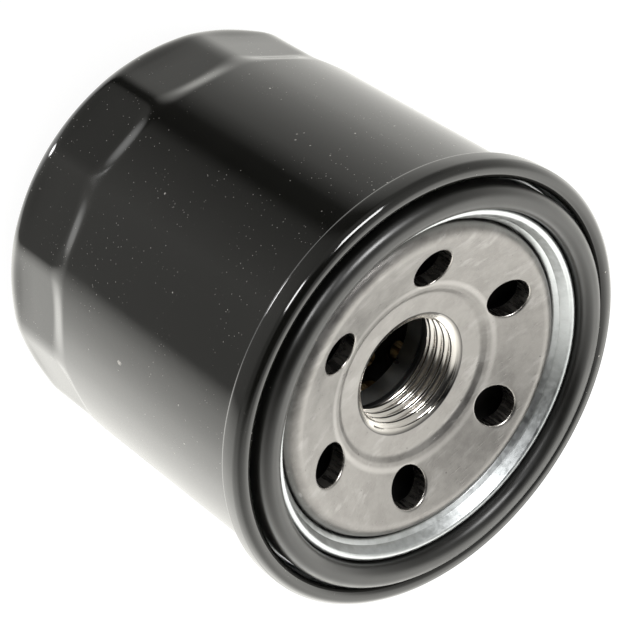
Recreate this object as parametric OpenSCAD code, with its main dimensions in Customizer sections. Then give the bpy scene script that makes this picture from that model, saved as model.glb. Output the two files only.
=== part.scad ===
// Spin-on oil filter for a small engine, in millimetres.
// +Z runs along the filter's axis, out of the threaded end.
// The origin is the centre of the closed end, which the filter stands on.

/* [Can] */
// Outside diameter of the can's wall
can_d = 68.2; // [66:0.1:70]
// Thickness of the can's sheet
can_t = 0.5; // [0.4:0.05:0.6]
// Outside radius where the closed end turns into the wall
dome_r = 5; // [3:0.5:7]
// Height of the inlet holes' circle above the closed end
hole_level = 61.2; // [58:0.1:66]

/* [Wrench flats] */
// Number of flats pressed into the closed end
flat_count = 14; // [12:1:16]
// Distance across opposite flats
flat_across = 66.5; // [66:0.1:67]
// Height where the flats run out into the round wall
flat_top = 17; // [14:0.1:20]
// Angle of one corner between flats, from the first inlet hole
flat_phase = 11.5; // [0:0.1:25.7]

/* [Base plate] */
// Thickness of the plate
plate_t = 2.8; // [2:0.1:3]
// Radius of the circle of inlet holes
hole_circle_r = 18.58; // [18:0.02:19.2]
// Radius of one inlet hole
hole_r = 3.28; // [2.8:0.02:3.5]
// Number of inlet holes
hole_count = 6; // [4:1:8]
// Rise of the dished face, per millimetre of radius
dish_slope = 0.326; // [0.25:0.002:0.36]
// Radius of the bore at the thread's crests, for a 3/4-16 UNF stud
thread_minor_r = 8.7; // [8.6:0.01:8.8]
// Radius of the chamfer at the thread's mouth
thread_mouth_r = 10; // [9.6:0.1:10.4]
// Depth of that chamfer
mouth_depth = 0.75; // [0.5:0.05:1.3]
// Depth of the threaded collar's inner end below the hole circle
collar_depth = 9.8; // [9:0.1:12]

/* [Gasket] */
// Inside radius of the sealing gasket
gasket_in_r = 28.75; // [28.7:0.05:29]
// Outside radius of the sealing gasket
gasket_out_r = 32.5; // [32:0.1:32.6]
// Height of the gasket's face above the hole circle
gasket_rise = 4.8; // [4:0.1:5.5]

/* [Seam] */
// Outside diameter of the rolled seam
seam_d = 71.9; // [71.9:0.1:72]
// Thickness of the gasket retainer's sheet
lid_t = 0.5; // [0.4:0.05:0.5]

/* [Element] */
// Number of pleats in the paper
pleat_count = 42; // [36:1:44]
// Outside radius of the pleats
pleat_out_r = 29.3; // [27:0.1:29.5]
// Inside radius of the pleats
pleat_in_r = 11.6; // [11.5:0.05:12.5]
// Thickness of the paper
paper_t = 0.5; // [0.3:0.05:0.5]
// Height of the element's lower end cap above the closed end
element_floor = 11; // [10:0.5:13]

/* [Bypass valve] */
// Radius of the bypass passage
bypass_r = 4.5; // [3.5:0.1:5]
// Radial clearance of the poppet's stem in its guide
stem_clearance = 0.07; // [0.02:0.01:0.1]

/* [Hidden] */
round_fn = 96;
hole_fn = 32;

can_r = can_d / 2;
can_in_r = can_r - can_t;
flat_r = flat_across / 2;
flat_pitch = 360 / flat_count;
flat_foot = dome_r + 0.7;
flat_half_w = 12;
// The flats sweep out to the wall along an arc of this radius, up to this lean.
shoulder_r = 12;
shoulder_lean = 22;
shoulder_base = flat_top - 0.15 - shoulder_r * sin(shoulder_lean);

// Middle radii of the five sheets in the seam, from the inside out.
layer_gap = 0.05;
chuck_mid = can_in_r - layer_gap - lid_t / 2;
wall_mid = can_r - can_t / 2;
end_hook_mid = can_r + layer_gap + lid_t / 2;
seam_outer_mid = (seam_d - lid_t) / 2;
body_hook_mid = end_hook_mid + 0.58;
// Heights in the seam.
crown_arc_z = hole_level + 1.95;
body_arc_z = hole_level + 1.7;
seam_foot_z = hole_level;
body_hook_end_z = hole_level + 0.1;
end_hook_top_z = hole_level + 1.55;
crown_arc_r = (seam_outer_mid - chuck_mid) / 2;
body_arc_r = (body_hook_mid - wall_mid) / 2;
foot_arc_r = (seam_outer_mid - end_hook_mid) / 2;

// The retainer's gasket channel.
channel_mid_z = hole_level - 1.15;
channel_floor_z = channel_mid_z + lid_t / 2;
channel_bend_r = 0.6;
channel_in_mid = 28.4;
lip_arc_r = 0.4;
lip_z = hole_level + 2.1;
lip_lean = 22;
bead_mid_r = 26.2;
bead_top = [26.9, hole_level + 0.8];

// The base plate.
flange_top_z = channel_mid_z - lid_t / 2;
flange_bottom_z = flange_top_z - plate_t;
flange_r = can_in_r - 0.6;
dish_angle = atan(dish_slope);
dish_in_r = 14.2;
dish_out_r = 23;
rim_arc_r = 2.1;
rim_end_angle = 10;
boss_z = hole_level - 2.31;
collar_r = 11.8;
collar_end_z = hole_level - collar_depth;
function dish_z(r) = hole_level + dish_slope * (r - hole_circle_r);

// The element, from its lower end cap up to the valve's neck.
cap_t = 0.4;
cap_r = 30.4;
cap_rim_h = 4;
valve_neck_t = 1;
face_gap = 0.05;
element_top = collar_end_z - valve_neck_t - 2 * face_gap;
potting_t = 1.6;
potting_out_r = cap_r - cap_t - face_gap;
tube_in_r = 10.4;
tube_t = 0.6;
tube_r = tube_in_r + tube_t;
tube_base_z = element_floor + cap_t + face_gap;
tube_top_z = element_top - cap_t - face_gap;
media_base_z = element_floor + cap_t + potting_t;
media_top_z = element_top - cap_t - potting_t;
outlet_r = 9.4;
clip_w = 3;
clip_depth = 2.2;

// The bypass valve, stacked on the lower end cap.
seat_t = 0.8;
seat_r = 9.6;
seat_top_z = tube_base_z + seat_t;
seal_t = 0.75;
seal_z = seat_top_z + 0.02;
poppet_t = 0.8;
poppet_r = 6.2;
poppet_z = seal_z + seal_t;
stem_r = 1.25;
stem_top_z = poppet_z + 14;
cage_r = 9.1;
cage_t = 0.5;
cage_top_z = seat_top_z + 11.5;
bypass_wire_r = 0.4;
bypass_coil_r = 3.6;

// The support spring under the element.
support_wire_r = 1;
support_low_r = 22;
support_high_r = 14;

// Points along an arc, from angle a0 to a1.
function arc(centre, r, a0, a1, steps = 6) =
    [for (i = [0:steps]) let (a = a0 + (a1 - a0) * i / steps) centre + r * [cos(a), sin(a)]];
function unit(v) = v / norm(v);
function left_of(v) = [-v[1], v[0]];
// The mitred normal of a path at its point i.
function mitre(path, i) =
    let (before = i > 0 ? unit(path[i] - path[i - 1]) : unit(path[1] - path[0]))
    let (after = i < len(path) - 1 ? unit(path[i + 1] - path[i]) : before)
    let (mean = unit(left_of(before) + left_of(after)))
    mean / (mean * left_of(before));
// The outline of a sheet of thickness t whose middle follows a path.
function sheet(path, t) = concat(
    [for (i = [0:len(path) - 1]) path[i] + mitre(path, i) * t / 2],
    [for (i = [len(path) - 1:-1:0]) path[i] - mitre(path, i) * t / 2]);

module turned(points) {
    rotate_extrude($fn = round_fn) polygon(points);
}

// A washer between two radii and two heights.
module washer(r_in, r_out, z0, z1) {
    turned([[r_in, z0], [r_out, z0], [r_out, z1], [r_in, z1]]);
}

// A can-shaped solid, grown inwards by inset, with its flats pressed in.
module can_solid(inset, top_z) {
    r = can_r - inset;
    bend = dome_r - inset;
    difference() {
        turned(concat([[0, inset]],
            arc([r - bend, dome_r], bend, -90, 0, 8),
            [[r, top_z], [0, top_z]]));
        for (i = [0:flat_count - 1]) {
            rotate([0, 0, flat_phase + (i + 0.5) * flat_pitch]) flat_cutter(flat_r - inset);
        }
    }
}

// Everything outside one flat: it starts above the bend and sweeps out to the wall at its top.
module flat_cutter(r) {
    sweep = arc([r + shoulder_r, shoulder_base], shoulder_r, 180, 180 - shoulder_lean, 3);
    run_out = sweep[len(sweep) - 1] + 5 * [sin(shoulder_lean), cos(shoulder_lean)];
    rotate([90, 0, 0]) translate([0, 0, -flat_half_w]) linear_extrude(2 * flat_half_w)
        polygon(concat([[r + 5, -1], [r + 1.2, -1], [r, flat_foot]], sweep,
            [run_out, [r + 5, run_out[1]]]));
}

module can_shell() {
    wall_top = body_arc_z;
    hook = concat([[wall_mid, wall_top - 0.01]],
        arc([(wall_mid + body_hook_mid) / 2, body_arc_z], body_arc_r, 180, 0),
        [[body_hook_mid, body_hook_end_z]]);
    color([0.03, 0.03, 0.035]) union() {
        difference() {
            can_solid(0, wall_top);
            can_solid(can_t, wall_top + 1);
        }
        turned(sheet(hook, can_t));
    }
}

module base_plate() {
    top = concat(
        [[thread_minor_r, boss_z - mouth_depth], [thread_mouth_r, boss_z]],
        [[dish_in_r - 0.7, boss_z + 0.3], [dish_in_r, dish_z(dish_in_r)]],
        arc([dish_out_r + rim_arc_r * sin(dish_angle),
            dish_z(dish_out_r) - rim_arc_r * cos(dish_angle)],
            rim_arc_r, 90 + dish_angle, rim_end_angle, 8));
    rim_r = dish_out_r + rim_arc_r * (sin(dish_angle) + cos(rim_end_angle));
    under_shift = plate_t * [sin(dish_angle), -cos(dish_angle)];
    under_out = [dish_out_r - 0.8, dish_z(dish_out_r - 0.8)] + under_shift;
    under_in = [dish_in_r, dish_z(dish_in_r)] + under_shift;
    color([0.7, 0.68, 0.66]) difference() {
        turned(concat(top,
            [[rim_r, flange_top_z], [flange_r, flange_top_z], [flange_r, flange_bottom_z]],
            [[under_out[0] + 1.6, flange_bottom_z], under_out, under_in],
            [[collar_r + 0.9, under_in[1] - 0.5], [collar_r, under_in[1] - 1.6]],
            [[collar_r, collar_end_z], [thread_minor_r, collar_end_z]]));
        for (i = [0:hole_count - 1]) {
            rotate([0, 0, i * 360 / hole_count]) translate([hole_circle_r, 0, hole_level - 8])
                cylinder(r = hole_r, h = 16, $fn = hole_fn);
        }
    }
}

module gasket_retainer() {
    lip_centre = [channel_in_mid - lip_arc_r, lip_z];
    path = concat(
        [[bead_mid_r, flange_top_z + face_gap], [bead_mid_r, hole_level + 0.15], bead_top],
        arc(lip_centre, lip_arc_r, 180 - lip_lean, 0),
        arc([channel_in_mid + channel_bend_r, channel_mid_z + channel_bend_r],
            channel_bend_r, -180, -90),
        arc([chuck_mid - channel_bend_r, channel_mid_z + channel_bend_r],
            channel_bend_r, -90, 0),
        arc([chuck_mid + crown_arc_r, crown_arc_z], crown_arc_r, 180, 0, 10),
        arc([seam_outer_mid - foot_arc_r, seam_foot_z], foot_arc_r, 0, -180),
        [[end_hook_mid, end_hook_top_z]]);
    color([0.75, 0.78, 0.8]) turned(sheet(path, lid_t));
}

module sealing_gasket() {
    face_z = hole_level + gasket_rise;
    edge_r = 1.45;
    color([0.05, 0.05, 0.05]) turned(concat(
        [[gasket_in_r, channel_floor_z], [gasket_out_r, channel_floor_z]],
        arc([gasket_out_r - edge_r, face_z - edge_r], edge_r, 0, 90),
        arc([gasket_in_r + edge_r, face_z - edge_r], edge_r, 90, 180)));
}

// Sealing compound caught between the crown of the seam and the can's hook.
module seam_sealant() {
    color([0.2, 0.2, 0.2]) turned(concat(
        arc([chuck_mid + crown_arc_r, crown_arc_z], crown_arc_r - lid_t / 2 - 0.02, 140, 45),
        arc([(wall_mid + body_hook_mid) / 2, body_arc_z], body_arc_r + can_t / 2 + 0.02, 55, 130)));
}

// A rubber diaphragm: its neck is held under the collar, its lip rests on the plate.
module anti_drain_valve() {
    neck_r = collar_r + face_gap;
    neck_top = collar_end_z + 3.7;
    lip_r = 27;
    lip_top = flange_bottom_z - face_gap;
    color([0.07, 0.07, 0.07]) turned([
        [outlet_r, collar_end_z - face_gap], [neck_r, collar_end_z - face_gap],
        [neck_r, neck_top], [neck_r + 1.2, neck_top],
        [lip_r - 0.8, lip_top - 0.4], [lip_r, lip_top], [lip_r + 0.6, lip_top - 0.3],
        [lip_r + 0.4, lip_top - 1], [neck_r + 1.6, neck_top - 1.6],
        [neck_r + 1.6, collar_end_z - face_gap - valve_neck_t],
        [outlet_r, collar_end_z - face_gap - valve_neck_t]]);
}

// A pressed cap with a hole, an outer rim and an inner rim; rim_dir points into the paper.
module end_cap(face_z, rim_dir, hole, inner_rim) {
    mid_z = face_z + rim_dir * cap_t / 2;
    color([0.72, 0.73, 0.72]) turned(sheet([
        [hole + cap_t / 2, mid_z + rim_dir * inner_rim], [hole + cap_t / 2, mid_z],
        [cap_r - cap_t / 2, mid_z], [cap_r - cap_t / 2, mid_z + rim_dir * cap_rim_h]], cap_t));
}

module top_end_cap() {
    end_cap(element_top, -1, outlet_r, 3);
}

module bottom_end_cap() {
    color([0.72, 0.73, 0.72]) turned(sheet([
        [bypass_r + 1.5, element_floor + cap_t / 2], [cap_r - cap_t / 2, element_floor + cap_t / 2],
        [cap_r - cap_t / 2, element_floor + cap_t / 2 + cap_rim_h]], cap_t));
}

module potting(z0) {
    color([0.85, 0.45, 0.2]) washer(tube_r + face_gap, potting_out_r, z0, z0 + potting_t);
}

module top_potting() {
    potting(media_top_z);
}

module bottom_potting() {
    potting(element_floor + cap_t);
}

// One closed star of folds. Tips lie at r_out, valleys at r_in, with flats of the given half widths.
module fold_star(r_out, r_in, tip_half, valley_half) {
    pitch = 360 / pleat_count;
    polygon([for (k = [0:pleat_count - 1])
        for (corner = [[r_out, 0, -tip_half], [r_out, 0, tip_half],
            [r_in, 0.5, -valley_half], [r_in, 0.5, valley_half]])
            let (a = pitch * (k + corner[1]))
            corner[0] * [cos(a), sin(a)] + corner[2] * [-sin(a), cos(a)]]);
}

module pleated_media() {
    tip_half = 0.8;
    valley_half = 0.12;
    color([0.85, 0.72, 0.42]) translate([0, 0, media_base_z])
        linear_extrude(media_top_z - media_base_z) difference() {
            fold_star(pleat_out_r, pleat_in_r + paper_t, tip_half, valley_half);
            fold_star(pleat_out_r - paper_t, pleat_in_r, tip_half - paper_t, valley_half + paper_t);
        }
}

// A folded strip that clamps the paper's two ends over one pleat.
module media_clip() {
    slot_half = 0.95;
    tip = pleat_out_r + face_gap;
    color([0.72, 0.73, 0.72]) translate([0, 0, media_base_z])
        linear_extrude(media_top_z - media_base_z) difference() {
            translate([tip - clip_depth, -clip_w / 2]) square([clip_depth + 0.4, clip_w]);
            translate([tip - clip_depth - 1, -slot_half]) square([clip_depth + 1, 2 * slot_half]);
        }
}

module center_tube() {
    rows = 8;
    holes_round = 9;
    perforation_r = 1.7;
    row_step = (tube_top_z - tube_base_z) / (rows + 1);
    color([0.72, 0.73, 0.72]) difference() {
        washer(tube_in_r, tube_r, tube_base_z, tube_top_z);
        for (row = [1:rows], k = [0:holes_round - 1]) {
            translate([0, 0, tube_base_z + row * row_step])
                rotate([0, 90, (k + (row % 2) / 2) * 360 / holes_round])
                    translate([0, 0, tube_in_r - 1]) cylinder(r = perforation_r, h = 3, $fn = 24);
        }
    }
}

// One ring of points round the middle line of a coil, and the tube through all the rings.
function coil_ring(place, angle, wire_r, sides) =
    [for (s = [0:sides - 1]) let (a = s * 360 / sides)
        [(place[0] + wire_r * cos(a)) * cos(angle), (place[0] + wire_r * cos(a)) * sin(angle),
            place[1] + wire_r * sin(a)]];
module coil(r0, r1, z0, z1, turns, wire_r, steps_per_turn, sides) {
    steps = floor(turns * steps_per_turn);
    closing = 0.8;
    // The end turns lie nearly flat, so the height follows a smooth ramp between them.
    function height(u) = let (e = closing / turns) let (w = (u - e) / (1 - 2 * e))
        u < e ? 0.04 * u / e : u > 1 - e ? 1 - 0.04 * (1 - u) / e : 0.04 + 0.92 * w;
    points = [for (i = [0:steps]) let (u = i / steps)
        each coil_ring([r0 + (r1 - r0) * u, z0 + (z1 - z0) * height(u)],
            360 * turns * u, wire_r, sides)];
    skin = [for (i = [0:steps - 1]) for (s = [0:sides - 1])
        let (a = i * sides + s) let (b = i * sides + (s + 1) % sides)
        each [[a, a + sides, b], [b, a + sides, b + sides]]];
    start_cap = [for (s = [0:sides - 1]) s];
    end_cap_face = [for (s = [sides - 1:-1:0]) steps * sides + s];
    polyhedron(points, concat(skin, [start_cap], [end_cap_face]));
}

module support_spring() {
    color([0.35, 0.36, 0.38])
        coil(support_low_r, support_high_r, can_t + support_wire_r,
            element_floor - support_wire_r, 3, support_wire_r, 24, 8);
}

module bypass_seat_plate() {
    color([0.75, 0.76, 0.76]) washer(bypass_r, seat_r, tube_base_z, seat_top_z);
}

// A cup over the seat, with windows in its side and a guide hole in its top.
module bypass_housing() {
    windows = 4;
    window_r = 3;
    window_z = seat_top_z + 5.5;
    color([0.7, 0.71, 0.7]) difference() {
        turned(sheet([[stem_r + stem_clearance, cage_top_z], [cage_r - cage_t / 2, cage_top_z],
            [cage_r - cage_t / 2, seat_top_z]], cage_t));
        for (k = [0:windows - 1]) {
            rotate([0, 0, k * 360 / windows]) translate([0, 0, window_z]) rotate([0, 90, 0])
                cylinder(r = window_r, h = cage_r + 1, $fn = hole_fn);
        }
    }
}

module bypass_seal() {
    color([0.08, 0.08, 0.08]) washer(stem_r + 1.5, poppet_r, seal_z, poppet_z);
}

module bypass_poppet() {
    color([0.75, 0.76, 0.76]) turned([[0, poppet_z], [poppet_r, poppet_z],
        [poppet_r, poppet_z + poppet_t], [stem_r, poppet_z + poppet_t],
        [stem_r, stem_top_z - 0.4], [stem_r - 0.4, stem_top_z], [0, stem_top_z]]);
}

module bypass_spring() {
    color([0.4, 0.41, 0.43])
        coil(bypass_coil_r, bypass_coil_r, poppet_z + poppet_t + bypass_wire_r,
            cage_top_z - cage_t / 2 - bypass_wire_r, 6, bypass_wire_r, 20, 8);
}

can_shell();
base_plate();
gasket_retainer();
sealing_gasket();
seam_sealant();
anti_drain_valve();
top_end_cap();
top_potting();
pleated_media();
media_clip();
center_tube();
bottom_potting();
bottom_end_cap();
support_spring();
bypass_seat_plate();
bypass_housing();
bypass_seal();
bypass_poppet();
bypass_spring();
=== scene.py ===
"""A spin-on oil filter, standing on its closed end with its threaded end up.

Lengths in this script are in millimetres and become metres where a mesh is made.
Heights are measured from the closed end, radii from the filter's axis.
"""
import math

import bmesh
import bpy
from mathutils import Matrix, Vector


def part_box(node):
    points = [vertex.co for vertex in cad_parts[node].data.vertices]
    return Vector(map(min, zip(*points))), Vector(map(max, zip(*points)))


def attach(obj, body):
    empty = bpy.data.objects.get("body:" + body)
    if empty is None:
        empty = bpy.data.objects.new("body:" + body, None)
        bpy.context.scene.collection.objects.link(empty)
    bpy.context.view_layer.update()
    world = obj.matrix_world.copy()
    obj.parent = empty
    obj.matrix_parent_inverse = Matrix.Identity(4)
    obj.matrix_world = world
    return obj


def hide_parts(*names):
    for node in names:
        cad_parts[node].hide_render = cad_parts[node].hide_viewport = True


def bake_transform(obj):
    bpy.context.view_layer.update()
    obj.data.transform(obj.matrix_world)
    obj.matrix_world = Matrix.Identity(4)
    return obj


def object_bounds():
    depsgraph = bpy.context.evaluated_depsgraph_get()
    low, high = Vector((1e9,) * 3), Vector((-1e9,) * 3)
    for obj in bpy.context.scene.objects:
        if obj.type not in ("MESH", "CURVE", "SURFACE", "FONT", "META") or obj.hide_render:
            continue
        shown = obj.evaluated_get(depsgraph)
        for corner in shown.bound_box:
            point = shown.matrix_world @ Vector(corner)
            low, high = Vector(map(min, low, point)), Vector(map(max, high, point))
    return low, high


MM = 0.001

# Can: the same driving sizes as the CAD model.
CAN_R = 34.1
CAN_T = 0.5
DOME_R = 5.0
HOLE_LEVEL = 61.2

# Wrench flats pressed into the closed end.
FLAT_COUNT = 14
FLAT_R = 33.25
SHOULDER_Z = 16.3
SHOULDER_RISE = 4.2
SHOULDER_DIP = 1.0
FLAT_PHASE = 11.5
FLAT_CORNER_R = 8.0

# Base plate and its thread.
PLATE_T = 2.8
HOLE_CIRCLE_R = 18.58
HOLE_R = 3.28
HOLE_COUNT = 6
DISH_SLOPE = 0.326
THREAD_MINOR_R = 8.7
THREAD_MAJOR_R = 9.5
THREAD_PITCH = 25.4 / 16
THREAD_MOUTH_R = 10.0
MOUTH_DEPTH = 0.75
BOSS_Z = HOLE_LEVEL - 2.31
MOUTH_LOW_Z = BOSS_Z - MOUTH_DEPTH
MOUTH_SLOPE = (THREAD_MOUTH_R - THREAD_MINOR_R) / MOUTH_DEPTH
THREAD_TOP_Z = BOSS_Z - 0.2
THREAD_LOW_R = THREAD_MAJOR_R + 0.1
COLLAR_R = 11.8
COLLAR_END_Z = HOLE_LEVEL - 9.8
DISH_IN_R = 14.2
DISH_OUT_R = 23.0
RIM_R = 25.72
CREASE_R = 15.3
GRID_IN_R = 14.6
GRID_OUT_R = 22.6
FLANGE_R = 33.0
FLANGE_TOP_Z = HOLE_LEVEL - 1.4
FLANGE_BOTTOM_Z = FLANGE_TOP_Z - PLATE_T

# Gasket and its retainer.
LID_T = 0.5
CHANNEL_MID_Z = HOLE_LEVEL - 1.15
CHANNEL_FLOOR_Z = CHANNEL_MID_Z + LID_T / 2
CHANNEL_IN_MID = 28.4
LIP_Z = HOLE_LEVEL + 2.1
BEAD_MID_R = 26.2
CONE_LEAN = 22
GASKET_IN_R = 28.75
GASKET_OUT_R = 32.5
GASKET_FACE_Z = HOLE_LEVEL + 4.8
GASKET_EDGE_R = 1.7

# Middle lines of the sheets in the rolled seam.
CHUCK_MID = 33.3
WALL_MID = 33.85
END_HOOK_MID = 34.4
BODY_HOOK_MID = 34.98
SEAM_OUTER_MID = 35.7

LATHE_STEPS = 240

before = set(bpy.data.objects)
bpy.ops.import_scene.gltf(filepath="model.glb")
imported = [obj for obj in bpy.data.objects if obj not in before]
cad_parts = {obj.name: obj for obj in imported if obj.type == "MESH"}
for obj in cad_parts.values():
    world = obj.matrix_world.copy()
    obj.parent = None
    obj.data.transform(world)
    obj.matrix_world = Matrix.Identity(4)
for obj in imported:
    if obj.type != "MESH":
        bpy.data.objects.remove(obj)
cad_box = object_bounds()


# Outlines

def arc(centre, radius, start, end, steps=8):
    """Points along an arc, with its angles in degrees."""
    points = []
    for step in range(steps + 1):
        angle = math.radians(start + (end - start) * step / steps)
        points.append((centre[0] + radius * math.cos(angle), centre[1] + radius * math.sin(angle)))
    return points


def rounded(corners, steps=6):
    """A line through corners (r, z, radius), with each corner rounded to its radius."""
    points = []
    last = len(corners) - 1
    for index, (r, z, radius) in enumerate(corners):
        here = Vector((r, z))
        if radius == 0 or index in (0, last):
            points.append((r, z))
            continue
        before = (Vector(corners[index - 1][:2]) - here).normalized()
        after = (Vector(corners[index + 1][:2]) - here).normalized()
        half = before.angle(after) / 2
        reach = radius / math.tan(half)
        centre = here + (before + after).normalized() * radius / math.sin(half)
        first = here + before * reach - centre
        final = here + after * reach - centre
        turn = first.angle_signed(final)
        for step in range(steps + 1):
            angle = turn * step / steps
            cosine = math.cos(angle)
            sine = -math.sin(angle)
            points.append((centre.x + first.x * cosine - first.y * sine,
                           centre.y + first.x * sine + first.y * cosine))
    return points


def offset_line(path, distance):
    """The line beside a path, at a distance to its left, with mitred corners."""
    moved = []
    last = len(path) - 1
    for index in range(len(path)):
        here = Vector(path[index])
        before = here - Vector(path[index - 1]) if index > 0 else Vector(path[1]) - here
        after = Vector(path[index + 1]) - here if index < last else before
        before = Vector((-before.y, before.x)).normalized()
        after = Vector((-after.y, after.x)).normalized()
        mean = (before + after).normalized()
        moved.append(tuple(here + mean * distance / mean.dot(before)))
    return moved


def sheet_outline(path, thickness):
    """The closed outline of a pressed sheet whose middle follows a path."""
    return offset_line(path, thickness / 2) + offset_line(path, -thickness / 2)[::-1]


# Meshes

def revolve(outline, angles=None, radius_at=None, closed=True):
    """Vertices and faces of an outline turned round the axis, at evenly spaced angles or the given ones.

    radius_at(r, z, angle) may change the radius from place to place.
    """
    if angles is None:
        angles = [math.tau * step / LATHE_STEPS for step in range(LATHE_STEPS)]
    count = len(outline)
    vertices = []
    for angle in angles:
        for r, z in outline:
            radius = radius_at(r, z, angle) if radius_at else r
            vertices.append((radius * math.cos(angle), radius * math.sin(angle), z))
    faces = []
    rows = count if closed else count - 1
    for column in range(len(angles)):
        here = column * count
        there = (column + 1) % len(angles) * count
        for row in range(rows):
            after = (row + 1) % count
            faces.append((here + row, there + row, there + after, here + after))
    return vertices, faces


def joined(parts):
    """One list of vertices and one of faces from several."""
    vertices = []
    faces = []
    for part_vertices, part_faces in parts:
        start = len(vertices)
        vertices.extend(part_vertices)
        faces.extend(tuple(start + index for index in face) for face in part_faces)
    return vertices, faces


def add_piece(name, shape, materials, body, node, sharp=40, material_at=None):
    """Makes a mesh piece that replaces one CAD node and rides on its body."""
    vertices, faces = shape
    mesh = bpy.data.meshes.new(name)
    mesh.from_pydata([[value * MM for value in vertex] for vertex in vertices], [], faces)
    work = bmesh.new()
    work.from_mesh(mesh)
    bmesh.ops.remove_doubles(work, verts=work.verts, dist=0.002 * MM)
    bmesh.ops.dissolve_degenerate(work, edges=work.edges, dist=0.001 * MM)
    bmesh.ops.recalc_face_normals(work, faces=work.faces)
    for face in work.faces:
        face.smooth = True
        if material_at:
            centre = face.calc_center_median() / MM
            face.material_index = material_at(math.hypot(centre.x, centre.y), centre.z)
    work.to_mesh(mesh)
    work.free()
    mesh.set_sharp_from_angle(angle=math.radians(sharp))
    piece = bpy.data.objects.new(name, mesh)
    bpy.context.scene.collection.objects.link(piece)
    for material in materials:
        mesh.materials.append(material)
    if body:
        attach(piece, body)
    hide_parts(node)
    return piece


# Materials

class Nodes:
    """Short names for the nodes of one tree."""

    def __init__(self, tree, coordinates):
        self.nodes = tree.nodes
        self.links = tree.links
        self.place = self.nodes.new("ShaderNodeTexCoord").outputs[coordinates]

    def feed(self, value, socket):
        """Links an output to a socket, or sets a plain number or colour on it."""
        if isinstance(value, bpy.types.NodeSocket):
            self.links.new(value, socket)
        else:
            socket.default_value = value

    def math(self, operation, first, second=0.0):
        node = self.nodes.new("ShaderNodeMath")
        node.operation = operation
        self.feed(first, node.inputs[0])
        self.feed(second, node.inputs[1])
        return node.outputs[0]

    def split(self):
        """X, Y and Z of the coordinates, as outputs."""
        node = self.nodes.new("ShaderNodeSeparateXYZ")
        self.links.new(self.place, node.inputs[0])
        return node.outputs

    def combine(self, x, y, z):
        node = self.nodes.new("ShaderNodeCombineXYZ")
        for value, socket in zip((x, y, z), node.inputs):
            self.feed(value, socket)
        return node.outputs[0]

    def remap(self, value, low, high, out_low=0.0, out_high=1.0):
        """Value taken smoothly from low..high to out_low..out_high."""
        node = self.nodes.new("ShaderNodeMapRange")
        node.interpolation_type = "SMOOTHSTEP"
        for number, name in ((low, "From Min"), (high, "From Max"),
                             (out_low, "To Min"), (out_high, "To Max")):
            node.inputs[name].default_value = number
        self.feed(value, node.inputs["Value"])
        return node.outputs["Result"]

    def ramp(self, value, stops):
        """A grey that follows stops (place, level) as value goes from 0 to 1."""
        node = self.nodes.new("ShaderNodeValToRGB")
        self.feed(value, node.inputs[0])
        elements = node.color_ramp.elements
        while len(elements) < len(stops):
            elements.new(0.5)
        for element, (place, level) in zip(elements, stops):
            element.position = place
            element.color = (level, level, level, 1)
        return node.outputs[0]

    def mix(self, factor, first, second, blend="MIX"):
        """A colour between two colours, or their product and so on."""
        node = self.nodes.new("ShaderNodeMix")
        node.data_type = "RGBA"
        node.blend_type = blend
        self.feed(factor, node.inputs[0])
        for value, socket in ((first, node.inputs[6]), (second, node.inputs[7])):
            self.feed((*value, 1) if isinstance(value, tuple) else value, socket)
        return node.outputs[2]


class Recipe(Nodes):
    """One material and the nodes that make it. Textures use object coordinates, in metres."""

    def __init__(self, name, colour, roughness, metallic=0.0, specular=0.5):
        self.material = bpy.data.materials.new(name)
        self.material.use_nodes = True
        self.material.diffuse_color = (*colour, 1)
        super().__init__(self.material.node_tree, "Object")
        self.shader = self.nodes["Principled BSDF"]
        self.shader.inputs["Base Color"].default_value = (*colour, 1)
        self.shader.inputs["Roughness"].default_value = roughness
        self.shader.inputs["Metallic"].default_value = metallic
        self.shader.inputs["Specular IOR Level"].default_value = specular

    def set(self, name, value):
        self.feed(value, self.shader.inputs[name])

    def stretched(self, scale):
        """Object coordinates scaled along X, Y and Z."""
        node = self.nodes.new("ShaderNodeMapping")
        node.inputs["Scale"].default_value = scale
        self.links.new(self.place, node.inputs["Vector"])
        return node.outputs[0]

    def polar(self):
        """Radius, angle in radians and height of each point, as outputs."""
        x, y, height = self.split()
        squares = self.math("ADD", self.math("MULTIPLY", x, x), self.math("MULTIPLY", y, y))
        return self.math("SQRT", squares), self.math("ARCTAN2", y, x), height

    def noise(self, feature, detail=3.0, roughness=0.5, place=None):
        """Noise whose lumps are about feature millimetres across."""
        node = self.nodes.new("ShaderNodeTexNoise")
        self.links.new(place or self.place, node.inputs["Vector"])
        node.inputs["Scale"].default_value = 1 / (feature * MM)
        node.inputs["Detail"].default_value = detail
        node.inputs["Roughness"].default_value = roughness
        return node.outputs["Fac"]

    def cells(self, feature, place=None):
        """Voronoi distance and a random colour for cells about feature millimetres across."""
        node = self.nodes.new("ShaderNodeTexVoronoi")
        self.links.new(place or self.place, node.inputs["Vector"])
        node.inputs["Scale"].default_value = 1 / (feature * MM)
        return node.outputs["Distance"], node.outputs["Color"]

    def bump(self, height, distance, strength=1.0):
        """Relief of the given distance in millimetres, from a height between 0 and 1."""
        node = self.nodes.new("ShaderNodeBump")
        node.inputs["Strength"].default_value = strength
        node.inputs["Distance"].default_value = distance * MM
        self.links.new(height, node.inputs["Height"])
        self.links.new(node.outputs[0], self.shader.inputs["Normal"])


def specks(recipe, cell, size, share, spread, place=None):
    """A mask of tiny dots: cells of one size, dots of another, on a share of the cells."""
    distance, colour = recipe.cells(cell, place)
    dot = recipe.remap(distance, size / cell * 0.45, size / cell, 1.0, 0.0)
    chosen = recipe.math("GREATER_THAN", colour, 1 - share)
    cloud = recipe.remap(recipe.noise(spread, 2.0), 0.42, 0.62)
    return recipe.math("MULTIPLY", recipe.math("MULTIPLY", dot, chosen), cloud)


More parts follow.
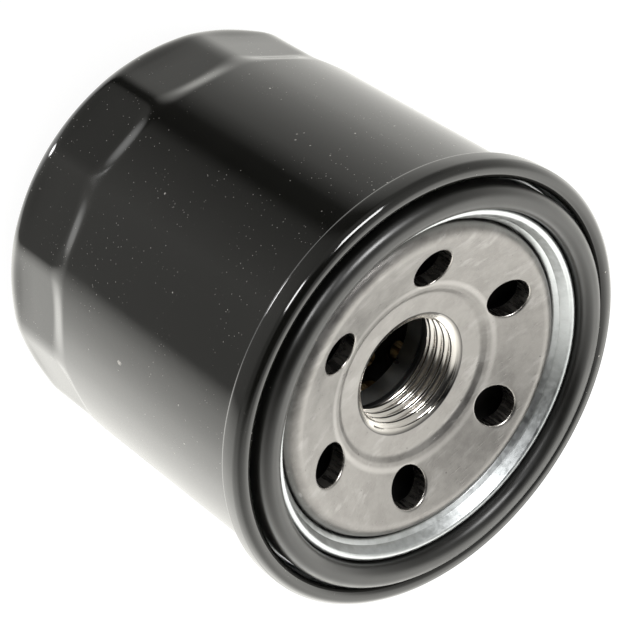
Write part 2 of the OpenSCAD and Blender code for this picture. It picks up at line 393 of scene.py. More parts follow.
def black_paint():
    """Gloss black enamel with a slight orange peel, white dust and a few lint flakes."""
    recipe = Recipe("black_paint", (0.011, 0.011, 0.010), 0.09)
    radius = recipe.polar()[0]
    fine = recipe.math("MULTIPLY", specks(recipe, 0.7, 0.11, 0.55, 13.0), 0.5)
    middling = recipe.math("MULTIPLY", specks(recipe, 1.8, 0.2, 0.45, 9.0), 0.85)
    flakes = specks(recipe, 5.0, 0.4, 0.35, 16.0, recipe.stretched((0.45, 1, 0.7)))
    dust = recipe.math("MAXIMUM", recipe.math("MAXIMUM", fine, middling), flakes)
    dust = recipe.math("MULTIPLY", dust, recipe.remap(radius, 34.3 * MM, 34.6 * MM, 1.0, 0.15))
    tone = recipe.mix(recipe.noise(14, 3), (0.006, 0.006, 0.005), (0.009, 0.009, 0.008))
    recipe.set("Base Color", recipe.mix(dust, tone, (0.55, 0.53, 0.50)))
    film = recipe.remap(recipe.noise(9, 4), 0.35, 0.7, 0.07, 0.12)
    recipe.set("Roughness", recipe.math("ADD", film, recipe.math("MULTIPLY", dust, 0.5)))
    recipe.bump(recipe.noise(2.4, 2), 0.004)
    return recipe.material


def plate_steel():
    """Satin rolled steel, mottled, with scuffs, light scratches and small dark pits; a painted shade line
    along the thread mouth's edge and a painted highlight ring round the boss's crease.
    """
    recipe = Recipe("plate_steel", (0.19, 0.183, 0.176), 0.42, 1.0)
    radius = recipe.polar()[0]
    mottle = recipe.noise(4, 6, 0.65)
    tone = recipe.mix(recipe.remap(mottle, 0.35, 0.65), (0.16, 0.154, 0.148), (0.218, 0.211, 0.203))
    smears = recipe.noise(2.2, 4, 0.6, recipe.stretched((0.35, 1, 1)))
    tone = recipe.mix(recipe.remap(smears, 0.54, 0.7, 0.0, 0.55), tone, (0.27, 0.263, 0.256))
    pits = specks(recipe, 1.5, 0.17, 0.4, 7.0)
    tone = recipe.mix(pits, tone, (0.06, 0.057, 0.054))
    # Painted shade: a thin dark line painted along the edge of the thread's mouth.
    from_edge = recipe.math("ABSOLUTE", recipe.math("SUBTRACT", radius, THREAD_MOUTH_R * MM))
    painted_edge_shade = recipe.remap(from_edge, 0.04 * MM, 0.13 * MM, 0.8, 0.0)
    tone = recipe.mix(painted_edge_shade, tone, (0.03, 0.03, 0.03))
    # Painted highlight: a lighter ring painted round the crease at the foot of the boss.
    from_crease = recipe.math("ABSOLUTE", recipe.math("SUBTRACT", radius, CREASE_R * MM))
    crease = recipe.remap(from_crease, 0.1 * MM, 0.7 * MM, 0.55, 0.0)
    tone = recipe.mix(crease, tone, (0.34, 0.33, 0.32))
    scuffs = specks(recipe, 2.4, 0.3, 0.3, 6.0, recipe.stretched((1, 0.4, 1)))
    recipe.set("Base Color", recipe.mix(recipe.math("MULTIPLY", scuffs, 0.6), tone, (0.42, 0.41, 0.40)))
    grain = recipe.noise(0.3, 4, 0.7)
    scratches = recipe.noise(0.22, 3, 0.5, recipe.stretched((0.08, 1, 1)))
    rough = recipe.remap(mottle, 0.3, 0.7, 0.34, 0.48)
    recipe.set("Roughness", recipe.math("ADD", rough, recipe.remap(scratches, 0.58, 0.7, 0.0, -0.12)))
    relief = recipe.math("ADD", grain, recipe.remap(scratches, 0.55, 0.7, 0.0, 0.6))
    recipe.bump(relief, 0.016)
    return recipe.material


def sheared_steel():
    """Dark glossy walls of the pierced holes."""
    recipe = Recipe("sheared_steel", (0.3, 0.28, 0.26), 0.26, 1.0)
    streak = recipe.noise(0.6, 4, 0.6, recipe.stretched((1, 1, 0.15)))
    recipe.set("Base Color", recipe.mix(streak, (0.22, 0.21, 0.20), (0.52, 0.50, 0.47)))
    recipe.set("Roughness", recipe.remap(streak, 0.35, 0.65, 0.2, 0.34))
    recipe.bump(streak, 0.02)
    return recipe.material


def thread_steel():
    """Bright cut steel with fine turning marks, and painted shade that darkens the countersink at the mouth.
    """
    recipe = Recipe("thread_steel", (0.72, 0.69, 0.65), 0.12, 1.0)
    radius, angle, height = recipe.polar()
    lines = recipe.noise(0.4, 3, 0.6, recipe.combine(radius, recipe.math("MULTIPLY", angle, 0.0004), height))
    tone = recipe.mix(lines, (0.48, 0.455, 0.42), (0.68, 0.66, 0.63))
    # Painted shade: the countersink at the mouth is painted dark.
    painted_mouth_shade = recipe.remap(radius, (THREAD_MINOR_R + 0.5) * MM, THREAD_MOUTH_R * MM)
    recipe.set("Base Color", recipe.mix(painted_mouth_shade, tone, (0.13, 0.125, 0.12)))
    recipe.set("Roughness", recipe.remap(lines, 0.35, 0.65, 0.1, 0.24))
    recipe.bump(lines, 0.02)
    return recipe.material


def zinc_steel():
    """Bright zinc plating with a bluish cast and faint spangles."""
    recipe = Recipe("zinc_steel", (0.74, 0.78, 0.80), 0.22, 1.0)
    mottle = recipe.noise(1.1, 4, 0.65)
    recipe.set("Base Color", recipe.mix(mottle, (0.27, 0.285, 0.29), (0.58, 0.60, 0.605)))
    recipe.set("Roughness", recipe.remap(mottle, 0.3, 0.7, 0.3, 0.44))
    recipe.bump(recipe.noise(0.8, 2), 0.004)
    return recipe.material


def gasket_rubber():
    """Moulded black nitrile rubber with a satin skin."""
    recipe = Recipe("gasket_rubber", (0.018, 0.018, 0.017), 0.26)
    cloud = recipe.noise(6, 4, 0.55)
    dust = specks(recipe, 1.6, 0.1, 0.3, 8.0)
    tone = recipe.mix(cloud, (0.008, 0.008, 0.007), (0.014, 0.014, 0.013))
    recipe.set("Base Color", recipe.mix(dust, tone, (0.25, 0.24, 0.23)))
    recipe.set("Roughness", recipe.remap(cloud, 0.3, 0.7, 0.29, 0.39))
    recipe.bump(recipe.noise(0.5, 3, 0.6), 0.005)
    return recipe.material


def sealant():
    """Dark curing compound in the seam."""
    recipe = Recipe("sealant", (0.12, 0.12, 0.12), 0.5)
    lumps = recipe.noise(1.2, 3)
    recipe.set("Base Color", recipe.mix(lumps, (0.09, 0.09, 0.09), (0.17, 0.165, 0.16)))
    recipe.bump(lumps, 0.05)
    return recipe.material


def valve_rubber():
    """Soft black rubber of the anti-drain valve, slightly dusty."""
    recipe = Recipe("valve_rubber", (0.02, 0.02, 0.02), 0.45)
    cloud = recipe.noise(4, 4)
    recipe.set("Base Color", recipe.mix(cloud, (0.012, 0.012, 0.012), (0.035, 0.034, 0.033)))
    recipe.set("Roughness", recipe.remap(cloud, 0.3, 0.7, 0.36, 0.55))
    recipe.bump(recipe.noise(0.6, 3), 0.02)
    return recipe.material


def cap_steel():
    """Tinned sheet with soft smears."""
    recipe = Recipe("cap_steel", (0.66, 0.67, 0.66), 0.3, 1.0)
    smear = recipe.noise(3, 4, 0.6, recipe.stretched((1, 1, 0.2)))
    recipe.set("Base Color", recipe.mix(smear, (0.55, 0.56, 0.55), (0.74, 0.75, 0.74)))
    recipe.set("Roughness", recipe.remap(smear, 0.3, 0.7, 0.24, 0.42))
    recipe.bump(recipe.noise(0.4, 3), 0.006)
    return recipe.material


def tube_steel():
    """Near-black steel with a soft mottle, for the perforated centre tube."""
    recipe = Recipe("tube_steel", (0.08, 0.08, 0.08), 0.5, 1.0)
    cloud = recipe.noise(1.5, 4, 0.6)
    recipe.set("Base Color", recipe.mix(cloud, (0.02, 0.02, 0.02), (0.05, 0.05, 0.048)))
    recipe.set("Roughness", recipe.remap(cloud, 0.3, 0.7, 0.4, 0.6))
    recipe.bump(cloud, 0.01)
    return recipe.material


def potting_resin():
    """Amber plastisol that holds the pleats' ends."""
    recipe = Recipe("potting", (0.62, 0.27, 0.07), 0.4)
    lumps = recipe.noise(2.5, 4)
    recipe.set("Base Color", recipe.mix(lumps, (0.50, 0.20, 0.05), (0.72, 0.34, 0.10)))
    recipe.bump(lumps, 0.1)
    return recipe.material


def filter_paper():
    """Resin-soaked cellulose paper with visible fibres."""
    recipe = Recipe("paper", (0.72, 0.52, 0.24), 0.75, 0.0, 0.3)
    fibre = recipe.noise(0.3, 5, 0.7, recipe.stretched((1, 1, 0.25)))
    cloud = recipe.noise(5, 3)
    tone = recipe.mix(cloud, (0.50, 0.32, 0.12), (0.66, 0.48, 0.24))
    recipe.set("Base Color", recipe.mix(recipe.remap(fibre, 0.45, 0.65), tone, (0.72, 0.58, 0.34)))
    recipe.bump(fibre, 0.05)
    return recipe.material


def spring_steel():
    """Dark drawn wire with lengthwise marks."""
    recipe = Recipe("spring_steel", (0.28, 0.28, 0.29), 0.3, 1.0)
    streak = recipe.noise(0.5, 4, 0.6)
    recipe.set("Base Color", recipe.mix(streak, (0.20, 0.20, 0.21), (0.36, 0.36, 0.37)))
    recipe.set("Roughness", recipe.remap(streak, 0.3, 0.7, 0.22, 0.4))
    recipe.bump(streak, 0.01)
    return recipe.material


def floor_white():
    """Plain pale floor, bright enough to stay white with a faint contact shadow."""
    recipe = Recipe("floor_white", (0.15, 0.15, 0.15), 0.9, 0.0, 0.0)
    recipe.shader.inputs["Emission Color"].default_value = (1, 1, 1, 1)
    recipe.shader.inputs["Emission Strength"].default_value = 0.95
    return recipe.material


# Can

def flat_depth(angle):
    """How far the pressed flats stand inside the round wall at an angle, with softened corners."""
    pitch = math.tau / FLAT_COUNT
    turn = (angle - math.radians(FLAT_PHASE)) % pitch
    from_corner = min(turn, pitch - turn)
    arc_centre = (FLAT_R - FLAT_CORNER_R) / math.cos(pitch / 2)
    if from_corner < corner_reach():
        sideways = arc_centre * math.sin(from_corner)
        radius = arc_centre * math.cos(from_corner) + math.sqrt(FLAT_CORNER_R ** 2 - sideways ** 2)
    else:
        radius = FLAT_R / math.cos(pitch / 2 - from_corner)
    return CAN_R - radius


def corner_reach():
    """Half the angle that one softened corner takes up."""
    half = math.pi / FLAT_COUNT
    arc_centre = (FLAT_R - FLAT_CORNER_R) / math.cos(half)
    return math.atan2(FLAT_CORNER_R * math.sin(half), arc_centre + FLAT_CORNER_R * math.cos(half))


def smooth(value):
    """Zero below 0, one above 1, and smooth between."""
    held = min(max(value, 0.0), 1.0)
    return held * held * (3 - 2 * held)


def can_radius(r, z, angle):
    """The radius of a point of the can's sheet, with the flats pressed in."""
    depth = flat_depth(angle)
    middle = SHOULDER_Z - SHOULDER_DIP * (1 - depth / (CAN_R - FLAT_R))
    below_shoulder = 1 - smooth((z - middle) / SHOULDER_RISE + 0.5)
    above_bend = smooth((z - 1) / 5)
    return r - depth * below_shoulder * above_bend


def can_shape():
    """The drawn can: closed end, wall with pressed flats, and its hook in the rolled seam."""
    corner_steps = 6
    flat_steps = 12
    pitch = math.tau / FLAT_COUNT
    reach = corner_reach()
    angles = []
    for flat in range(FLAT_COUNT):
        corner = math.radians(FLAT_PHASE) + flat * pitch
        for step in range(corner_steps):
            angles.append(corner - reach + 2 * reach * step / corner_steps)
        for step in range(flat_steps):
            angles.append(corner + reach + (pitch - 2 * reach) * step / flat_steps)
    half = CAN_T / 2
    shoulder_rows = 26
    shoulder_low = SHOULDER_Z - SHOULDER_DIP - SHOULDER_RISE / 2 - 0.2
    shoulder_high = SHOULDER_Z + SHOULDER_RISE / 2 + 0.2
    shoulder = [(WALL_MID, shoulder_low + (shoulder_high - shoulder_low) * step / shoulder_rows)
                for step in range(shoulder_rows + 1)]
    hook_r = (BODY_HOOK_MID - WALL_MID) / 2
    path = [(0, half), (12, half), (22, half)]
    path += arc((CAN_R - DOME_R, DOME_R), DOME_R - half, -90, 0, 12)
    path += [(WALL_MID, 6), (WALL_MID, 9)] + shoulder
    path += [(WALL_MID, 21), (WALL_MID, 26), (WALL_MID, 36), (WALL_MID, 48), (WALL_MID, 58)]
    path += arc((WALL_MID + hook_r, HOLE_LEVEL + 1.7), hook_r, 180, 0, 10)
    path += [(BODY_HOOK_MID, HOLE_LEVEL + 0.1)]
    return revolve(sheet_outline(path, CAN_T), angles, can_radius)


# Base plate

def dish_z(r):
    """Height of the dished face at a radius."""
    return HOLE_LEVEL + DISH_SLOPE * (r - HOLE_CIRCLE_R)


def dish_under_z(r):
    """Height of the dish's underside at a radius."""
    return dish_z(r) - PLATE_T * math.hypot(1, DISH_SLOPE)


def hole_sector(turn):
    """One sixth of the dish, from face to underside, with rings of quads round its inlet hole."""
    half = math.pi / HOLE_COUNT
    arc_steps = LATHE_STEPS // HOLE_COUNT
    side_steps = 10
    border = []
    for step in range(arc_steps):
        angle = -half + 2 * half * step / arc_steps
        border.append((GRID_OUT_R * math.cos(angle), GRID_OUT_R * math.sin(angle)))
    for step in range(side_steps):
        r = GRID_OUT_R + (GRID_IN_R - GRID_OUT_R) * step / side_steps
        border.append((r * math.cos(half), r * math.sin(half)))
    for step in range(arc_steps):
        angle = half - 2 * half * step / arc_steps
        border.append((GRID_IN_R * math.cos(angle), GRID_IN_R * math.sin(angle)))
    for step in range(side_steps):
        r = GRID_IN_R + (GRID_OUT_R - GRID_IN_R) * step / side_steps
        border.append((r * math.cos(half), -r * math.sin(half)))
    corners = [0, arc_steps, arc_steps + side_steps, 2 * arc_steps + side_steps, len(border)]
    headings = []
    for corner in corners:
        x, y = border[corner % len(border)]
        headings.append(math.atan2(y, x - HOLE_CIRCLE_R) % math.tau)
    headings[0] -= math.tau
    bearings = []
    for number in range(4):
        span = corners[number + 1] - corners[number]
        for step in range(span):
            share = step / span
            bearings.append(headings[number] + (headings[number + 1] - headings[number]) * share)
    lip = 0.4
    lip_depth = 0.32
    under_lip = 0.2
    shares = (1, 0.75, 0.5, 0.3, 0.14, 0)
    rings = [(share, HOLE_R + lip, dish_z, 0) for share in shares]
    for step in range(1, 7):
        angle = math.pi / 2 * step / 6
        rings.append((0, HOLE_R + lip * (1 - math.sin(angle)), dish_z, -lip_depth * (1 - math.cos(angle))))
    for drop in (0.9, 1.7):
        rings.append((0, HOLE_R, dish_z, -drop))
    for step in range(5):
        angle = math.pi / 2 * step / 4
        rings.append((0, HOLE_R + under_lip * (1 - math.cos(angle)), dish_under_z,
                      under_lip * (1 - math.sin(angle))))
    for share in shares[-2::-1]:
        rings.append((share, HOLE_R + under_lip, dish_under_z, 0))
    vertices = []
    for share, hole_r, level, lift in rings:
        for (border_x, border_y), bearing in zip(border, bearings):
            x = HOLE_CIRCLE_R + hole_r * math.cos(bearing)
            y = hole_r * math.sin(bearing)
            x += (border_x - x) * share
            y += (border_y - y) * share
            z = level(math.hypot(x, y)) + lift
            vertices.append((x * math.cos(turn) - y * math.sin(turn),
                             x * math.sin(turn) + y * math.cos(turn), z))
    count = len(border)
    faces = []
    for ring in range(len(rings) - 1):
        for place in range(count):
            after = (place + 1) % count
            faces.append((ring * count + place, ring * count + after,
                          (ring + 1) * count + after, (ring + 1) * count + place))
    return vertices, faces


def mouth_r(z):
    """Radius of the countersink at a height."""
    return THREAD_MINOR_R + MOUTH_SLOPE * (z - MOUTH_LOW_Z)


def thread_shape():
    """The cut thread: rows of quads that climb with the helix, held between two flat ends."""
    profile = ((0.0, 0.04), (0.03, 0.0), (0.125, 0.0), (0.22, 0.0), (0.25, 0.04), (0.36, 0.37),
               (0.46, 0.69), (0.5625, 0.97), (0.625, 1.0), (0.6875, 0.97), (0.79, 0.66), (0.89, 0.34))
    pitches = math.ceil((THREAD_TOP_Z - COLLAR_END_Z) / THREAD_PITCH) + 2
    rows = pitches * len(profile)
    vertices = []
    for column in range(LATHE_STEPS):
        angle = math.tau * column / LATHE_STEPS
        for row in range(rows + 1):
            share, depth = profile[row % len(profile)]
            climb = row // len(profile) + share - 1.5 + column / LATHE_STEPS
            z = min(max(COLLAR_END_Z + THREAD_PITCH * climb, COLLAR_END_Z), THREAD_TOP_Z)
            r = THREAD_MINOR_R + depth * (THREAD_MAJOR_R - THREAD_MINOR_R)
            r = max(r, mouth_r(z), THREAD_LOW_R + COLLAR_END_Z - z)
            vertices.append((r * math.cos(angle), r * math.sin(angle), z))
    faces = []
    for column in range(LATHE_STEPS):
        here = column * (rows + 1)
        there = (column + 1) % LATHE_STEPS * (rows + 1)
        lift = len(profile) if column == LATHE_STEPS - 1 else 0
        for row in range(rows - lift):
            faces.append((here + row, there + row + lift, there + row + lift + 1, here + row + 1))
    return vertices, faces


def plate_shape():
    """The base plate: boss, dish with six pierced holes, rim, flange, collar and cut thread."""
    boss = rounded([
        (mouth_r(THREAD_TOP_Z), THREAD_TOP_Z, 0),
        (THREAD_MOUTH_R, BOSS_Z, 0.12),
        (DISH_IN_R - 0.8, BOSS_Z + 0.3, 1.1),
        (DISH_IN_R, dish_z(DISH_IN_R), 1.2),
        (GRID_IN_R, dish_z(GRID_IN_R), 0)])
    slope = math.degrees(math.atan(DISH_SLOPE))
    rim_arc_r = 2.1
    rim_centre = (DISH_OUT_R + rim_arc_r * math.sin(math.radians(slope)),
                  dish_z(DISH_OUT_R) - rim_arc_r * math.cos(math.radians(slope)))
    rim = [(GRID_OUT_R, dish_z(GRID_OUT_R))] + arc(rim_centre, rim_arc_r, 90 + slope, 10, 14)
    under_r = DISH_OUT_R + 0.07
    flange = rounded([
        (*rim[-1], 0),
        (RIM_R, FLANGE_TOP_Z, 0.3),
        (FLANGE_R, FLANGE_TOP_Z, 0.3),
        (FLANGE_R, FLANGE_BOTTOM_Z, 0.5),
        (under_r + 1.6, FLANGE_BOTTOM_Z, 1.5),
        (under_r, dish_under_z(under_r), 0.4),
        (GRID_OUT_R, dish_under_z(GRID_OUT_R), 0)])
    collar = rounded([
        (GRID_IN_R, dish_under_z(GRID_IN_R), 0),
        (COLLAR_R + 0.9, dish_under_z(GRID_IN_R) - 0.4, 0.8),
        (COLLAR_R, dish_under_z(GRID_IN_R) - 1.5, 0.5),
        (COLLAR_R, COLLAR_END_Z, 0.4),
        (THREAD_LOW_R, COLLAR_END_Z, 0)])
    parts = [revolve(line, closed=False) for line in (boss, rim + flange[1:], collar)]
    parts += [hole_sector(math.tau * hole / HOLE_COUNT) for hole in range(HOLE_COUNT)]
    parts.append(thread_shape())
    return joined(parts)


def plate_finish(r, z):
    """Material 1 on the cut thread and its mouth, 2 on the pierced holes' walls, 0 elsewhere."""
    if r < THREAD_MOUTH_R - 0.1 and z < BOSS_Z:
        return 1
    if GRID_IN_R < r < GRID_OUT_R and dish_under_z(r) + 0.25 < z < dish_z(r) - 0.12:
        return 2
    return 0


# Gasket, its retainer and the seam

def retainer_shape():
    """The sheet ring, from its bead over the lip and the gasket's channel to the rolled seam."""
    lean = math.radians(CONE_LEAN)
    lip_r = 0.4
    lip_centre = (CHANNEL_IN_MID - lip_r, LIP_Z)
    cone_top = (lip_centre[0] - lip_r * math.cos(lean), LIP_Z + lip_r * math.sin(lean))
    crown_r = (SEAM_OUTER_MID - CHUCK_MID) / 2
    foot_r = (SEAM_OUTER_MID - END_HOOK_MID) / 2
    path = rounded([
        (BEAD_MID_R, FLANGE_TOP_Z + 0.05, 0),
        (BEAD_MID_R, HOLE_LEVEL + 0.15, 0.4),
        (BEAD_MID_R + 0.7, HOLE_LEVEL + 0.8, 0.4),
        (*cone_top, 0)])[:-1]
    path += arc(lip_centre, lip_r, 180 - CONE_LEAN, 0, 10)
    path += arc((CHANNEL_IN_MID + 0.6, CHANNEL_MID_Z + 0.6), 0.6, -180, -90, 6)
    path += arc((CHUCK_MID - 0.6, CHANNEL_MID_Z + 0.6), 0.6, -90, 0, 6)
    path += arc((CHUCK_MID + crown_r, HOLE_LEVEL + 1.95), crown_r, 180, 0, 20)
    path += arc((SEAM_OUTER_MID - foot_r, HOLE_LEVEL), foot_r, 0, -180, 12)
    path += [(END_HOOK_MID, HOLE_LEVEL + 1.55)]
    return revolve(sheet_outline(path, LID_T))


def painted(r, z):
    """Material 1 on the seam, which was painted with the can, and 0 on the bare channel."""
    return 1 if r > CHUCK_MID + 0.2 or (r > CHUCK_MID - 0.4 and z > HOLE_LEVEL + 2.3) else 0


def gasket_shape():
    """The sealing ring, with a rounded top."""
    return revolve(rounded([
        (GASKET_IN_R, CHANNEL_FLOOR_Z, 0.1),
        (GASKET_OUT_R, CHANNEL_FLOOR_Z, 0.2),
        (GASKET_OUT_R, GASKET_FACE_Z, GASKET_EDGE_R),
        (GASKET_IN_R, GASKET_FACE_Z, GASKET_EDGE_R),
        (GASKET_IN_R, CHANNEL_FLOOR_Z + 0.1, 0)], 14))


# Inner pieces

def valve_shape():
    """The anti-drain valve: a foot under the collar, a neck round it and a lip against the plate."""
    neck_r = COLLAR_R + 0.05
    neck_top = COLLAR_END_Z + 3.7
    lip_r = 27.0
    lip_top = FLANGE_BOTTOM_Z - 0.05
    face_z = COLLAR_END_Z - 0.05
    return revolve(rounded([
        (9.4, face_z - 0.5, 0), (9.4, face_z, 0.2), (neck_r, face_z, 0.05), (neck_r, neck_top, 0.05),
        (neck_r + 1.2, neck_top, 0.6), (lip_r - 0.8, lip_top - 0.4, 0.5), (lip_r, lip_top, 0.15),
        (lip_r + 0.6, lip_top - 0.3, 0.2), (lip_r + 0.4, lip_top - 1, 0.3),
        (neck_r + 1.6, neck_top - 1.6, 1.2), (neck_r + 1.6, face_z - 1, 0.3),
        (9.4, face_z - 1, 0.2), (9.4, face_z - 0.52, 0)]))


def coil_shape(r0, r1, z0, z1, turns, wire_r):
    """A compression coil with closed end turns."""
    steps_per_turn = 48
    sides = 12
    steps = turns * steps_per_turn
    ease = 0.8 / turns
    vertices = []
    for step in range(steps + 1):
        share = step / steps
        if share < ease:
            climb = 0.04 * share / ease
        elif share > 1 - ease:
            climb = 1 - 0.04 * (1 - share) / ease
        else:
            climb = 0.04 + 0.92 * (share - ease) / (1 - 2 * ease)
        angle = math.tau * turns * share
        for side in range(sides):
            around = math.tau * side / sides
            r = r0 + (r1 - r0) * share + wire_r * math.cos(around)
            z = z0 + (z1 - z0) * climb + wire_r * math.sin(around)
            vertices.append((r * math.cos(angle), r * math.sin(angle), z))
    faces = []
    for step in range(steps):
        for side in range(sides):
            after = (side + 1) % sides
            faces.append((step * sides + side, (step + 1) * sides + side,
                          (step + 1) * sides + after, step * sides + after))
    faces.append(tuple(range(sides)))
    faces.append(tuple(steps * sides + side for side in range(sides)))
    return vertices, faces


def pleat_shape(z0, z1):
    """Paper folded to and fro between two radii, closed into a ring."""
    count = 42
    tip_r = 0.55
    valley_r = 0.37
    half_t = 0.25
    tip_centre = 29.3 - half_t - tip_r
    valley_centre = 11.6 + half_t + valley_r
    half_pitch = math.pi / count

    def turned(x, y, angle):
        return (x * math.cos(angle) - y * math.sin(angle), x * math.sin(angle) + y * math.cos(angle))

    path = []
    for step in range(5):
        angle = math.pi / 2 * step / 4
        x = valley_centre - valley_r * math.cos(angle)
        path.append(turned(x, valley_r * math.sin(angle), -half_pitch))
    for step in range(9):
        angle = -math.pi / 2 + math.pi * step / 8
        path.append((tip_centre + tip_r * math.cos(angle), tip_r * math.sin(angle)))
    for step in range(5):
        angle = math.pi / 2 * (1 - step / 4)
        x = valley_centre - valley_r * math.cos(angle)
        path.append(turned(x, -valley_r * math.sin(angle), half_pitch))
    inner = offset_line(path, half_t)
    outer = offset_line(path, -half_t)
    vertices = []
    faces = []
    for fold in range(count):
        for line in (inner, outer):
            for z in (z0, z1):
                for x, y in line:
                    vertices.append((*turned(x, y, 2 * half_pitch * fold), z))
        size = len(path)
        base = fold * 4 * size
        for place in range(size - 1):
            low_in, high_in, low_out, high_out = (base + line * size + place for line in range(4))
            faces.append((low_in, low_in + 1, high_in + 1, high_in))
            faces.append((low_out, high_out, high_out + 1, low_out + 1))
            faces.append((high_in, high_in + 1, high_out + 1, high_out))
            faces.append((low_in, low_out, low_out + 1, low_in + 1))
    return vertices, faces


# Stage

def build_camera():
    """The camera, aimed from its heading round the filter and rolled about its own line of sight."""
    aim = Vector((0.6, 0.2, 36.79)) * MM
    distance = 372.42 * MM
    azimuth = math.radians(-69.93)
    elevation = math.radians(41.644)
    roll = math.radians(123.98)
    away = Vector((math.cos(elevation) * math.cos(azimuth),
                   math.cos(elevation) * math.sin(azimuth), math.sin(elevation)))
    data = bpy.data.cameras.new("camera")
    data.lens = 139.14
    data.sensor_width = 36
    data.clip_start = 0.01
    camera = bpy.data.objects.new("camera", data)
    bpy.context.scene.collection.objects.link(camera)
    camera.location = aim + away * distance
    level = away.to_track_quat("Z", "Y").to_matrix()
    side = Vector((0, 0, 1)).cross(away).normalized()
    upward = away.cross(side)
    right = side * math.cos(roll) + upward * math.sin(roll)
    upward = away.cross(right)
    for row in range(3):
        level[row] = (right[row], upward[row], away[row])
    camera.rotation_euler = level.to_euler()
    bpy.context.scene.camera = camera


def build_floor(material):
    """A wide plane just under the filter, which gloss doesn't reflect."""
    mesh = bpy.data.meshes.new("floor")
    half_side = 6.0
    corners = [(-half_side, -half_side, 0), (half_side, -half_side, 0),
               (half_side, half_side, 0), (-half_side, half_side, 0)]
    mesh.from_pydata(corners, [], [(0, 1, 2, 3)])
    mesh.materials.append(material)
    floor = bpy.data.objects.new("floor", mesh)
    bpy.context.scene.collection.objects.link(floor)
    floor.location.z = cad_box[0][2] - 0.0001
    floor.visible_glossy = False


# What gloss sees of the studio, as (heading in degrees, level), joined by straight lines.
# Low down: a fill that fades into a black flag, then a long grey panel, then the window.
LOW_LEVELS = ((-180, 1.5), (-135, 0.7), (-120, 0.05), (-108, 0.02), (-100, 0.3), (-60, 0.65), (-12, 0.5),
              (-5, 1.5), (5, 2.3), (30, 3.0), (50, 2.8), (100, 1.1), (180, 1.5))
# Near the horizon: a dim side and the bright middle of the window.
HORIZON_LEVELS = ((-180, 1.2), (-150, 0.5), (-25, 0.4), (-5, 1.5), (15, 2.8), (60, 4.7), (95, 3.0),
                  (150, 2.8), (180, 1.2))
# High up: a dark room on one side and the window's top on the other.
UPPER_LEVELS = ((-180, 0.9), (-90, 0.3), (-20, 0.1), (15, 1.3), (80, 2.5), (110, 3.3), (140, 3.0),
                (165, 1.3), (180, 0.9))


def heading_vector(azimuth, elevation):
    """The unit vector towards an azimuth and elevation in degrees."""
    turn = math.radians(azimuth)
    climb = math.radians(elevation)
    return Vector((math.cos(climb) * math.cos(turn), math.cos(climb) * math.sin(turn), math.sin(climb)))


def build_world():
    """A soft white studio whose walls differ in brightness with heading and height."""
    world = bpy.data.worlds.new("studio")
    bpy.context.scene.world = world
    world.use_nodes = True
    world.cycles.sampling_method = "NONE"
    sky = Nodes(world.node_tree, "Generated")
    x, y, height = sky.split()
    heading = sky.math("ARCTAN2", y, x)
    turn = sky.math("ADD", sky.math("DIVIDE", heading, math.tau), 0.5)

    def by_heading(levels):
        brightest = max(level for angle, level in levels)
        stops = [((angle + 180) / 360, level / brightest) for angle, level in levels]
        tint = (brightest, brightest * 0.99, brightest * 0.94)
        return sky.mix(1.0, sky.ramp(turn, stops), tint, "MULTIPLY")

    below = (1.3, 1.3, 1.28)
    zenith = (0.8, 0.8, 0.78)
    low = sky.mix(sky.remap(height, -0.985, -0.90), below, by_heading(LOW_LEVELS))
    around = sky.mix(sky.remap(height, -0.5, -0.2), low, by_heading(HORIZON_LEVELS))
    around = sky.mix(sky.remap(height, 0.1, 0.6), around, by_heading(UPPER_LEVELS))
    around = sky.mix(sky.remap(height, 0.82, 0.98), around, zenith)

    def near(centre, inner, outer):
        """A mask that is 1 within inner degrees of a direction and 0 beyond outer degrees."""
        dot = sky.nodes.new("ShaderNodeVectorMath")
        dot.operation = "DOT_PRODUCT"
        sky.links.new(sky.place, dot.inputs[0])
        dot.inputs[1].default_value = centre
        return sky.remap(dot.outputs["Value"], math.cos(math.radians(outer)), math.cos(math.radians(inner)))

    far_gap = near(heading_vector(110, -6), 7, 20)
    around = sky.mix(far_gap, around, (0.3, 0.3, 0.29))
    dark_room = near(heading_vector(-60, 55), 24, 42)
    around = sky.mix(dark_room, around, (0.02, 0.02, 0.02))
    floor_glint = near(heading_vector(-63, -65), 3, 7)
    around = sky.mix(floor_glint, around, (24, 24, 24))
    backdrop = (1.1, 1.1, 1.1)
    camera_ray = sky.nodes.new("ShaderNodeLightPath").outputs["Is Camera Ray"]
    sky.feed(sky.mix(camera_ray, around, backdrop), sky.nodes["Background"].inputs["Color"])


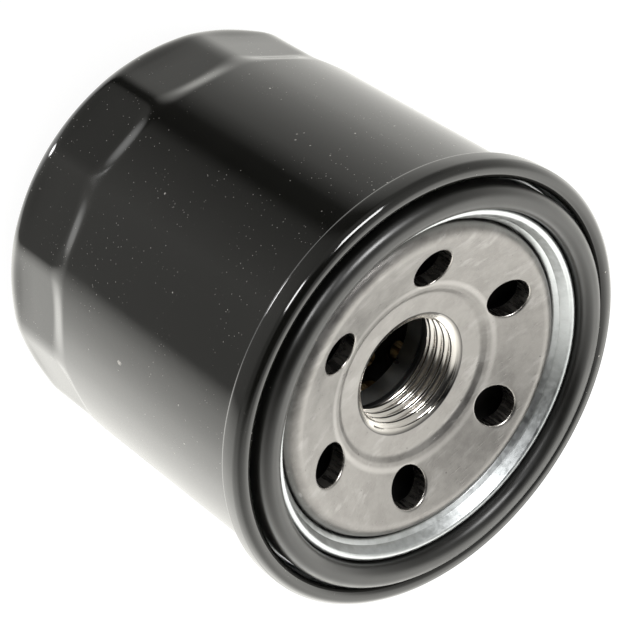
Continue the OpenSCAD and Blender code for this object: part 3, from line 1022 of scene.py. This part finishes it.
def build_lamp(name, azimuth, elevation, distance, width, height, watts):
    """A small softbox that faces the rolled seam from a heading, and that the camera doesn't see."""
    data = bpy.data.lights.new(name, "AREA")
    data.shape = "RECTANGLE"
    data.size = width
    data.size_y = height
    data.energy = watts
    lamp = bpy.data.objects.new(name, data)
    bpy.context.scene.collection.objects.link(lamp)
    towards = heading_vector(azimuth, elevation)
    lamp.location = Vector((0, 0, HOLE_LEVEL * MM)) + towards * distance
    lamp.rotation_euler = towards.to_track_quat("Z", "Y").to_euler()
    lamp.visible_camera = False
    lamp.visible_diffuse = False


def dress(node, material):
    """Gives a CAD node its material."""
    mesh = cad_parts[node].data
    mesh.materials.clear()
    mesh.materials.append(material)


build_camera()
bpy.context.scene.view_settings.view_transform = "Standard"
build_world()
build_floor(floor_white())
build_lamp("left_lamp", -110, 32, 0.35, 0.13, 0.10, 1.0)
build_lamp("front_lamp", -70, 3, 0.35, 0.08, 0.08, 0.5)

paint = black_paint()
plate = plate_steel()
thread = thread_steel()
sheared = sheared_steel()
zinc = zinc_steel()
rubber = gasket_rubber()
soft_rubber = valve_rubber()
tinned = cap_steel()
resin = potting_resin()
paper = filter_paper()
wire = spring_steel()

add_piece("can", can_shape(), [paint], "housing", "can_shell")
add_piece("plate", plate_shape(), [plate, thread, sheared], "housing", "base_plate",
          50, plate_finish)
add_piece("retainer", retainer_shape(), [zinc, paint], "housing", "gasket_retainer",
          50, painted)
add_piece("gasket", gasket_shape(), [rubber], "housing", "sealing_gasket", 60)
valve = add_piece("drain_valve", valve_shape(), [soft_rubber], None, "anti_drain_valve", 50)
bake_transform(valve)
media_low, media_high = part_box("pleated_media")
add_piece("pleats", pleat_shape(media_low[2] / MM, media_high[2] / MM), [paper], "element",
          "pleated_media")
low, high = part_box("support_spring")
support = add_piece("support_coil", coil_shape(22, 14, CAN_T + 1, 10, 3, 1), [wire], None,
                    "support_spring")
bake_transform(support)
low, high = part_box("bypass_spring")
small_coil = coil_shape(3.6, 3.6, low[2] / MM + 0.4, high[2] / MM - 0.4, 6, 0.4)
small = add_piece("bypass_coil", small_coil, [wire], None, "bypass_spring")
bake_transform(small)

for node in ("top_end_cap", "bottom_end_cap", "media_clip", "bypass_seat_plate", "bypass_housing",
             "bypass_poppet"):
    dress(node, tinned)
for node in ("top_potting", "bottom_potting"):
    dress(node, resin)
dress("center_tube", tube_steel())
dress("bypass_seal", soft_rubber)
dress("seam_sealant", sealant())
